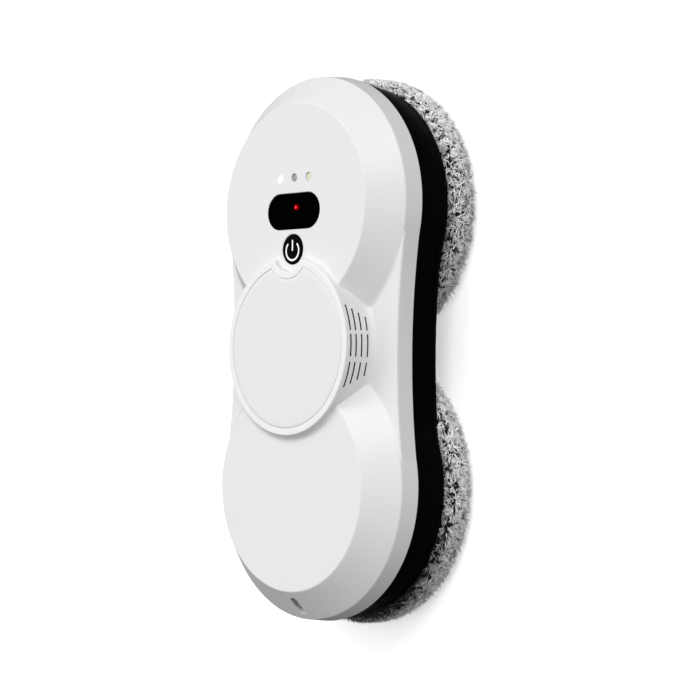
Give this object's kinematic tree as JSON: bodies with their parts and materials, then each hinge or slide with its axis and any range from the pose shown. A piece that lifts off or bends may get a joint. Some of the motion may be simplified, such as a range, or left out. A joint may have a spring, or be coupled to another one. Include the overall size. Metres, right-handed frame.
{
  "type": "window cleaning robot",
  "caption": "Hourglass window cleaning robot with a round centre cap, a power button and window, side vents and turning plush pads on a black lower shell.",
  "frame": {"origin": "middle of the base of the bounding box, on the glass under the pads, midway between the discs", "axes": "+Z out of the cover, away from the glass; +Y along the body to the end with the button and lights; +X to the side without the power inlet"},
  "size_m": [0.146, 0.296, 0.0699],
  "materials": {
    "cover_white": "fine satin texture",
    "cap_white": "fine satin texture",
    "shell_black": "fine matt texture",
    "window_black": "polished",
    "led_red": "lit",
    "lens_white": "frosted, lit",
    "lens_grey": "frosted, unlit",
    "lens_green": "frosted",
    "symbol_white": "moulded in",
    "button_black": "satin",
    "board_green": "solder mask",
    "chip_black": "moulded",
    "nozzle_grey": "moulded",
    "tank_clear": "translucent",
    "plug_rubber": "matt",
    "hose_silicone": "translucent",
    "cell_blue": "shrink sleeve",
    "duct_grey": "moulded",
    "motor_steel": "drawn can",
    "steel": "zinc plated",
    "pinion_brass": "cut",
    "gear_white": "acetal",
    "disc_black": "moulded",
    "seal_felt": "felt",
    "filter_grey": "moulded mesh",
    "pad_plush": "microfibre plush"
  },
  "bodies": {
    "casing": {"top_cover": "cover_white", "centre_cap": "cap_white", "lower_shell": "shell_black", "base_plate": "shell_black", "sensor_window": "window_black", "indicator_led": "led_red", "remote_receiver": "chip_black", "status_lens_left": "lens_white", "status_lens_mid": "lens_grey", "status_lens_right": "lens_green", "tact_switch": "chip_black", "control_board": "board_green", "board_components": "chip_black", "beeper": "chip_black", "spray_nozzle": "nozzle_grey", "water_tank": "tank_clear", "water_pump": "chip_black", "tank_hose": "hose_silicone", "nozzle_hose": "hose_silicone", "battery_cells": "cell_blue", "battery_holder": "duct_grey", "air_duct": "duct_grey", "fan_housing": "duct_grey", "fan_motor": "motor_steel", "drive_motor_upper": "motor_steel", "drive_motor_lower": "motor_steel", "motor_mount_upper": "steel", "motor_mount_lower": "steel", "hub_bush_upper": "gear_white", "hub_bush_lower": "gear_white", "disc_seal_upper": "seal_felt", "disc_seal_lower": "seal_felt", "dc_inlet": "shell_black", "rope_eyelet": "shell_black", "case_screws": "steel", "board_screws": "steel", "mount_screws": "steel", "housing_screws": "steel"},
    "upper_disc": {"mop_disc_upper": "disc_black", "drive_gear_upper": "gear_white", "gear_screws_upper": "steel", "air_filter_upper": "filter_grey", "pad_upper": "pad_plush"},
    "lower_disc": {"mop_disc_lower": "disc_black", "drive_gear_lower": "gear_white", "gear_screws_lower": "steel", "air_filter_lower": "filter_grey", "pad_lower": "pad_plush"},
    "upper_pinion": {"pinion_upper": "pinion_brass"},
    "lower_pinion": {"pinion_lower": "pinion_brass"},
    "fan_rotor": {"fan_impeller": "duct_grey", "fan_shaft": "steel"},
    "button": {"power_button": "button_black", "power_symbol": "symbol_white", "switch_plunger": "chip_black"},
    "tank_plug": {"filler_plug": "plug_rubber"}
  },
  "joints": [
    {"name": "upper_disc_spin", "type": "hinge", "parent": "casing", "child": "upper_disc", "pos_m": [0, 0.075, 0.02], "axis": [0, 0, 1], "continuous": true},
    {"name": "lower_disc_spin", "type": "hinge", "parent": "casing", "child": "lower_disc", "pos_m": [0, -0.075, 0.02], "axis": [0, 0, 1], "continuous": true},
    {"name": "upper_pinion_spin", "type": "hinge", "parent": "casing", "child": "upper_pinion", "pos_m": [0, 0.111, 0.031], "axis": [0, 0, 1], "continuous": true},
    {"name": "lower_pinion_spin", "type": "hinge", "parent": "casing", "child": "lower_pinion", "pos_m": [0, -0.111, 0.031], "axis": [0, 0, 1], "continuous": true},
    {"name": "fan_spin", "type": "hinge", "parent": "casing", "child": "fan_rotor", "pos_m": [0, 0, 0.05], "axis": [0, 0, 1], "continuous": true},
    {"name": "button_press", "type": "slide", "parent": "casing", "child": "button", "axis": [0, 0, -1], "range_m": [0, 0.0005], "stiffness_N_per_m": 600, "springref_m": -0.0008},
    {"name": "plug_pull", "type": "slide", "parent": "casing", "child": "tank_plug", "axis": [-0.6984, 0, 0.7157], "range_m": [0, 0.012]}
  ],
  "couplings": [
    {"joint": "upper_pinion_spin", "follows": "upper_disc_spin", "ratio": -5},
    {"joint": "lower_pinion_spin", "follows": "lower_disc_spin", "ratio": -5}
  ]
}
